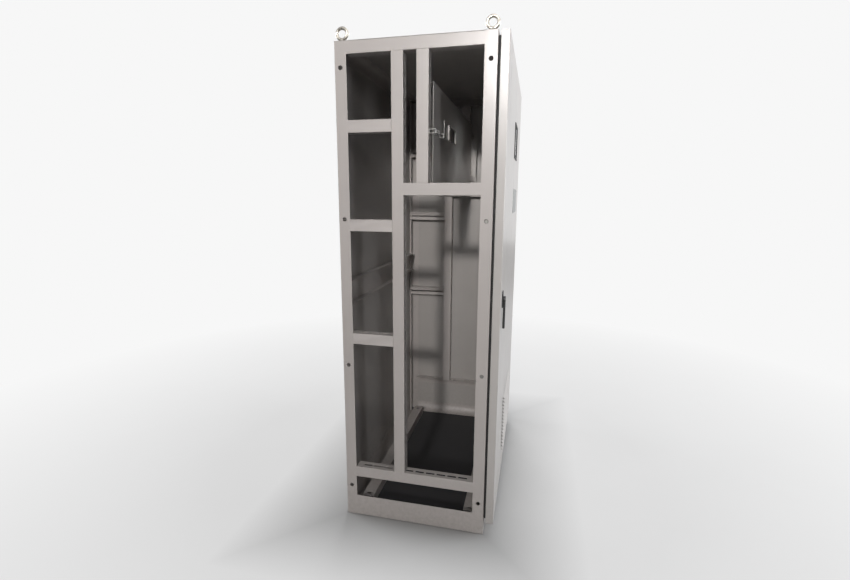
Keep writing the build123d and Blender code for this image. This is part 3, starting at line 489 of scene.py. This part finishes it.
def bend_sheet(node, bend_radius=SHEET_BEND):
    """Sheet piece with rounded bends and its cut rims broken."""
    bm = whole_faces(node)
    if node == "base_beam_rear":
        turn_open_side(bm, node)
    elif node == "front_door":
        settle_louvres(bm)
    if "bay_rail" in node or "side_bottom" in node:
        open_out_slots(bm, False)
    elif "mid_post" in node or "upper_post" in node:
        open_out_slots(bm, True)
    bends, _ = outer_edges(bm, WIDE_FACE, SHORTEST_BEND)
    ease(bm, bends, bend_radius, segments=3)
    _, rims = outer_edges(bm, WIDE_FACE, SHORTEST_RIM)
    ease(bm, rims, SHEET_RIM, segments=1)
    put_in_place("bent_" + node, bm, node)


def ease_fitting(node, radius, segments):
    """Small solid fitting with its outward edges rounded."""
    bm = whole_faces(node)
    bends, rims = outer_edges(bm, wide=0.0, least_length=0.0)
    ease(bm, bends + rims, radius, segments)
    put_in_place("eased_" + node, bm, node)


def separate_lumps(node):
    """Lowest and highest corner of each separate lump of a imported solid."""
    bm = whole_faces(node)
    seen = set()
    spans = []
    for start in bm.verts:
        if start in seen:
            continue
        lump = {start}
        waiting = [start]
        while waiting:
            for edge in waiting.pop().link_edges:
                fresh = [other for other in edge.verts if other not in lump]
                lump.update(fresh)
                waiting.extend(fresh)
        seen |= lump
        spans.append(tuple(Vector([pick(v.co[i] for v in lump) for i in range(3)])
                           for pick in (min, max)))
    bm.free()
    return spans


def slab(bm, low, high):
    """Box between two corners."""
    made = bmesh.ops.create_cube(bm, size=1.0)["verts"]
    low = Vector(low)
    high = Vector(high)
    bmesh.ops.scale(bm, vec=high - low, verts=made)
    bmesh.ops.translate(bm, vec=(low + high) / 2, verts=made)


def add_part(bm, part, place):
    """Moves a finished part to its place and joins it to a piece."""
    bmesh.ops.transform(part, matrix=place, verts=list(part.verts))
    carrier = bpy.data.meshes.new("carrier")
    part.to_mesh(carrier)
    part.free()
    bm.from_mesh(carrier)
    bpy.data.meshes.remove(carrier)


def spin_round(part, steps):
    """Spins all that a part holds about Z, and closes the seam."""
    bmesh.ops.spin(part, geom=list(part.verts) + list(part.edges), cent=(0, 0, 0),
                   axis=(0, 0, 1), angle=math.tau, steps=steps, use_merge=True)
    bmesh.ops.remove_doubles(part, verts=list(part.verts), dist=TURNED_MERGE)
    bmesh.ops.recalc_face_normals(part, faces=list(part.faces))


def turned(outline, steps=32):
    """Turned part: outline of (radius, height) points spun about Z."""
    part = bmesh.new()
    verts = [part.verts.new((radius, 0, height)) for radius, height in outline]
    for pair in zip(verts, verts[1:]):
        part.edges.new(pair)
    spin_round(part, steps)
    return part


def forged_ring(radius, wire):
    """Round ring that lies on the XY plane."""
    part = bmesh.new()
    disc = bmesh.ops.create_circle(part, segments=20, radius=wire)["verts"]
    bmesh.ops.rotate(part, cent=(0, 0, 0), matrix=Matrix.Rotation(math.pi / 2, 3, "X"),
                     verts=disc)
    bmesh.ops.translate(part, vec=(radius, 0, 0), verts=disc)
    spin_round(part, steps=48)
    return part


def facing(point, normal):
    """Place whose Z axis looks along the given direction."""
    turn = Vector(normal).to_track_quat("Z", "Y").to_matrix().to_4x4()
    return Matrix.Translation(point) @ turn


def hex_head(across_flats, height):
    """Hexagon head on the XY plane, its upper corners taken down and its edges eased."""
    part = bmesh.new()
    radius = across_flats / math.sqrt(3)
    bmesh.ops.create_cone(part, cap_ends=True, segments=6, radius1=radius, radius2=radius,
                          depth=height)
    bmesh.ops.translate(part, vec=(0, 0, height / 2), verts=list(part.verts))
    upper_corners = [v for v in part.verts if v.co.z > height / 2]
    ease(part, upper_corners, HEAD_CROWN, segments=1, affect="VERTICES")
    edges = [e for e in part.edges if e.calc_face_angle(0.0) > HEAD_EDGE_ANGLE]
    ease(part, edges, HEAD_EDGE, segments=1)
    return part


def make_screws(node, normal):
    """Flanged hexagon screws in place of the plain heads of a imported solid."""
    bm = bmesh.new()
    axis = Vector(normal)
    for low, high in separate_lumps(node):
        height = abs((high - low).dot(axis))
        flats = min(abs(side) for side, along in zip(high - low, axis) if not along)
        flange = flats * FLANGE_PER_FLATS
        outline = ((0, 0), (flange, 0), (flange, FLANGE_RIM),
                   (flange - FLANGE_SLOPE, FLANGE_TOP), (0, FLANGE_TOP))
        place = facing((low + high) / 2 - axis * height / 2, normal)
        add_part(bm, turned(outline, steps=24), place)
        add_part(bm, hex_head(flats, height - HEAD_START),
                 place @ Matrix.Translation((0, 0, HEAD_START)))
    put_in_place("screws_" + node, bm, node, sharp_degrees=28)


def make_eyebolts():
    """Forged lifting eyebolts: round ring, filleted neck, collar and shank."""
    bm = bmesh.new()
    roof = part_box("roof_panel")[1].z
    for low, high in separate_lumps("lifting_eyebolts"):
        middle = (low + high) / 2
        stand = Matrix.Translation((middle.x, middle.y, high.z - EYE_BELOW_TOP))
        add_part(bm, forged_ring(EYE_RADIUS, EYE_WIRE),
                 stand @ Matrix.Rotation(math.pi / 2, 4, "Y"))
        outline = [(0, low.z), (SHANK_TIP_RADIUS, low.z), (SHANK_RADIUS, low.z + SHANK_TIP),
                   (SHANK_RADIUS, roof)] + [(radius, roof + rise) for radius, rise in COLLAR]
        add_part(bm, turned(outline), Matrix.Translation((middle.x, middle.y, 0)))
    put_in_place("forged_eyebolts", bm, "lifting_eyebolts", sharp_degrees=60)


def make_inserts():
    """Threaded inserts with a broken rim, closed by a set screw just under the face."""
    bm = bmesh.new()
    for low, high in separate_lumps("threaded_inserts"):
        place = facing((low.x, (low.y + high.y) / 2, (low.z + high.z) / 2), (1, 0, 0))
        add_part(bm, turned(INSERT_SLEEVE, steps=36), place)
        add_part(bm, turned(INSERT_SCREW, steps=24), place)
    put_in_place("closed_inserts", bm, "threaded_inserts", sharp_degrees=40)


def strap_loop(low, high):
    """Square loop of flat strip, open along X, with rounded corners."""
    part = bmesh.new()
    slab(part, low, high)
    long_edges = [e for e in part.edges if e.verts[0].co.x != e.verts[1].co.x]
    ends = [f for f in part.faces if abs(f.normal.x) > SQUARE_ON]
    bmesh.ops.delete(part, geom=ends, context="FACES_ONLY")
    ease(part, long_edges, STRIP_CORNER, segments=4)
    bmesh.ops.recalc_face_normals(part, faces=list(part.faces))
    bmesh.ops.solidify(part, geom=list(part.faces), thickness=STRIP_WALL)
    return part


def make_bolt_loops(node, length):
    """Folded strip loops that carry the slide bolt, each on a foot plate."""
    bm = bmesh.new()
    for low, high in separate_lumps(node):
        middle = (low.x + high.x) / 2
        loop = strap_loop((middle - length / 2, low.y, low.z),
                          (middle + length / 2, high.y, high.z))
        add_part(bm, loop, Matrix())
        slab(bm, (low.x, high.y - STRIP_FOOT, low.z), high)
    put_in_place("loops_" + node, bm, node, sharp_degrees=40)


def make_inner_panel():
    """Inner panel: cut-out sheet with flanges at the top, the foot and both upright ends."""
    low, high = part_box("inner_panel")
    hole_low, hole_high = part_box("cutout_frame")
    face_y = hole_high.y
    back_y = face_y + PANEL_SHEET
    flange_y = face_y + PANEL_FLANGE
    columns = (low.x - PANEL_REACH, hole_low.x + PANEL_SHEET, hole_high.x - PANEL_SHEET, high.x)
    rows = (low.z, hole_low.z + PANEL_SHEET, hole_high.z - PANEL_SHEET, high.z)
    cells = len(columns) - 1
    bm = bmesh.new()
    grid = bmesh.ops.create_grid(bm, x_segments=cells, y_segments=cells, size=cells / 2)["verts"]
    for vert in grid:
        column, row = (round(side + cells / 2) for side in vert.co.xy)
        vert.co = (columns[column], face_y, rows[row])
    cut_out = []
    for face in bm.faces:
        middle = face.calc_center_median()
        if columns[1] < middle.x < columns[2] and rows[1] < middle.z < rows[2]:
            cut_out.append(face)
    bmesh.ops.delete(bm, geom=cut_out, context="FACES_ONLY")
    raised = bmesh.ops.extrude_face_region(bm, geom=list(bm.faces))["geom"]
    bmesh.ops.translate(bm, vec=(0, PANEL_SHEET, 0),
                        verts=[g for g in raised if isinstance(g, bmesh.types.BMVert)])
    slab(bm, (low.x, back_y, high.z - PANEL_SHEET), (high.x, flange_y, high.z))
    slab(bm, (low.x, back_y, low.z), (high.x, high.y, low.z + PANEL_SHEET))
    slab(bm, (high.x - PANEL_SHEET, low.y, low.z), (high.x, face_y, high.z))
    slab(bm, (low.x + PANEL_RETURN[0], back_y, low.z + PANEL_SHEET),
         (low.x + PANEL_RETURN[1], flange_y, high.z - PANEL_SHEET))
    bmesh.ops.recalc_face_normals(bm, faces=list(bm.faces))
    rims = [e for e in bm.edges if e.calc_face_angle(0.0) > PANEL_RIM_ANGLE]
    ease(bm, rims, PANEL_RIM, segments=1)
    put_in_place("folded_inner_panel", bm, "inner_panel")


def make_blank_plate():
    """Blank plate held by four round-headed rivets."""
    low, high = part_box("blank_plate")
    bm = whole_faces("blank_plate")
    bends, rims = outer_edges(bm, wide=0.0, least_length=0.0)
    ease(bm, bends + rims, FINE_EDGE, segments=2)
    for x in (low.x + RIVET_INSET, high.x - RIVET_INSET):
        for z in (low.z + RIVET_INSET, high.z - RIVET_INSET):
            add_part(bm, turned(RIVET_HEAD, steps=20), facing((x, low.y, z), (0, -1, 0)))
    put_in_place("riveted_blank_plate", bm, "blank_plate", sharp_degrees=40)


def past_edge(tree, value, half):
    """How far a place lies past the edge of the base on either side."""
    return arithmetic(tree, "SUBTRACT", arithmetic(tree, "ABSOLUTE", value), half)


def floor_material():
    """Pale floor that keeps the shadow near the cabinet, is painted dark inside the base as
    painted shade, and turns plain white further out.
    """
    material = bpy.data.materials.new("floor_paint")
    material.use_nodes = True
    tree = material.node_tree
    shader = tree.nodes["Principled BSDF"]
    shader.inputs["Roughness"].default_value = FLOOR_ROUGHNESS
    place = tree.nodes.new("ShaderNodeTexCoord").outputs["Object"]
    cloud = noise(tree, place, scale=1.7, detail=5.0, rough=0.6)
    cloud = remap(tree, cloud, (0.3, 0.7), (0.0, 1.0))
    tone = blend_colour(tree, cloud, FLOOR_DULL, FLOOR_PALE)
    reach = tree.nodes.new("ShaderNodeVectorMath")
    reach.operation = "LENGTH"
    tree.links.new(place, reach.inputs[0])
    split = tree.nodes.new("ShaderNodeSeparateXYZ")
    tree.links.new(place, split.inputs[0])
    past_base = arithmetic(tree, "MAXIMUM", past_edge(tree, split.outputs["X"], HALF_WIDTH),
                           past_edge(tree, split.outputs["Y"], HALF_DEPTH))
    lift = remap(tree, past_base, (0.0, LIFT_REACH), (0.0, FLOOR_LIFT))
    # Painted shade: the floor is drawn dark inside the base, where the cabinet keeps the light
    # off it
    clear_of_painted_shade = remap(tree, past_base, PAINTED_SHADE_EDGE, (0.0, 1.0))
    tone = blend_colour(tree, clear_of_painted_shade, PAINTED_SHADE_UNDER_BASE, tone)
    tree.links.new(tone, shader.inputs["Base Color"])
    outward = remap(tree, reach.outputs["Value"], FLOOR_FADE, (lift, 1.0))
    path = tree.nodes.new("ShaderNodeLightPath")
    share = arithmetic(tree, "MULTIPLY", outward, path.outputs["Is Camera Ray"])
    white = tree.nodes.new("ShaderNodeEmission")
    white.inputs["Strength"].default_value = BACKGROUND_WHITE
    mix = tree.nodes.new("ShaderNodeMixShader")
    for socket, source in zip(mix.inputs, (share, shader.outputs[0], white.outputs[0])):
        tree.links.new(source, socket)
    tree.links.new(mix.outputs[0], tree.nodes["Material Output"].inputs["Surface"])
    return material


def build_stage():
    """Flat floor that the cabinet stands on."""
    mesh = bpy.data.meshes.new("floor")
    bm = bmesh.new()
    bmesh.ops.create_grid(bm, x_segments=1, y_segments=1, size=FLOOR_SIZE)
    bm.to_mesh(mesh)
    bm.free()
    floor = bpy.data.objects.new("floor", mesh)
    bpy.context.scene.collection.objects.link(floor)
    floor.data.materials.append(floor_material())


def area_light(name, place, target, size, watts, colour, spread):
    """Rectangular lamp that looks at a target."""
    data = bpy.data.lights.new(name, "AREA")
    data.spread = math.radians(spread)
    data.shape = "RECTANGLE"
    data.size, data.size_y = size
    data.energy = watts
    data.color = colour
    lamp = bpy.data.objects.new(name, data)
    lamp.location = place
    lamp.rotation_mode = "QUATERNION"
    lamp.rotation_quaternion = (Vector(target) - Vector(place)).to_track_quat("-Z", "Y")
    bpy.context.scene.collection.objects.link(lamp)


def build_world():
    """Faint room light, and a white background for the camera, gloss and clear plastic."""
    world = bpy.data.worlds.new("studio")
    bpy.context.scene.world = world
    world.use_nodes = True
    tree = world.node_tree
    tree.nodes.clear()
    out = tree.nodes.new("ShaderNodeOutputWorld")
    soft = tree.nodes.new("ShaderNodeBackground")
    soft.inputs["Color"].default_value = SOFT_TINT
    soft.inputs["Strength"].default_value = SOFT_STRENGTH
    white = tree.nodes.new("ShaderNodeBackground")
    white.inputs["Color"].default_value = (1, 1, 1, 1)
    white.inputs["Strength"].default_value = BACKGROUND_WHITE
    path = tree.nodes.new("ShaderNodeLightPath").outputs
    seen = arithmetic(tree, "MAXIMUM", path["Is Camera Ray"], path["Is Transmission Ray"])
    gloss = arithmetic(tree, "MULTIPLY", path["Is Glossy Ray"], GLOSS_SHARE)
    seen = arithmetic(tree, "MAXIMUM", seen, gloss)
    mix = tree.nodes.new("ShaderNodeMixShader")
    for socket, source in zip(mix.inputs, (seen, soft.outputs[0], white.outputs[0])):
        tree.links.new(source, socket)
    tree.links.new(mix.outputs[0], out.inputs["Surface"])


def build_camera():
    """Camera that sees the cabinet as the photograph does."""
    data = bpy.data.cameras.new("camera")
    data.sensor_width = SENSOR
    data.lens = LENS
    data.clip_start = CLIP_NEAR
    data.clip_end = CLIP_FAR
    camera = bpy.data.objects.new("camera", data)
    ahead = Vector((math.cos(CAMERA_YAW) * math.cos(CAMERA_PITCH),
                    math.sin(CAMERA_YAW) * math.cos(CAMERA_PITCH), -math.sin(CAMERA_PITCH)))
    tilt = Matrix.Rotation(CAMERA_ROLL, 4, "Z").to_quaternion()
    camera.rotation_mode = "QUATERNION"
    camera.rotation_quaternion = ahead.to_track_quat("-Z", "Y") @ tilt
    camera.location = CAMERA_PLACE
    bpy.context.scene.collection.objects.link(camera)
    bpy.context.scene.camera = camera


for node, slot in SLOT_OF.items():
    if slot.endswith("_paint") and node not in ("front_door", "inner_panel"):
        bend_sheet(node)
bend_sheet("front_door", DOOR_BEND)
make_inner_panel()
make_eyebolts()
make_inserts()
make_blank_plate()
make_bolt_loops("slide_bolt_keeper", length=0.014)
make_bolt_loops("slide_bolt_guides", length=0.007)
make_screws("rear_cover_screws", normal=(0, 1, 0))
make_screws("side_panel_screws", normal=(1, 0, 0))
make_screws("base_bolts", normal=(0, 0, 1))
for node, radius, segments in (
    ("door_handle", 0.003, 4),
    ("handle_base", 0.0015, 3),
    ("door_gasket", 0.0034, 4),
    ("window_seal", 0.0012, 3),
    ("slide_bolt", 0.0007, 2),
):
    ease_fitting(node, radius, segments)
for node in ("hinge_frame_leaves", "hinge_door_leaves", "hinge_pins", "lock_cam",
             "handle_spindle", "rod_guides", "corner_gussets", "eyebolt_nuts"):
    ease_fitting(node, FINE_EDGE, segments=2)

build_stage()
build_world()
for lamp in LAMPS:
    area_light(*lamp)
build_camera()
bpy.context.scene.view_settings.view_transform = "Standard"
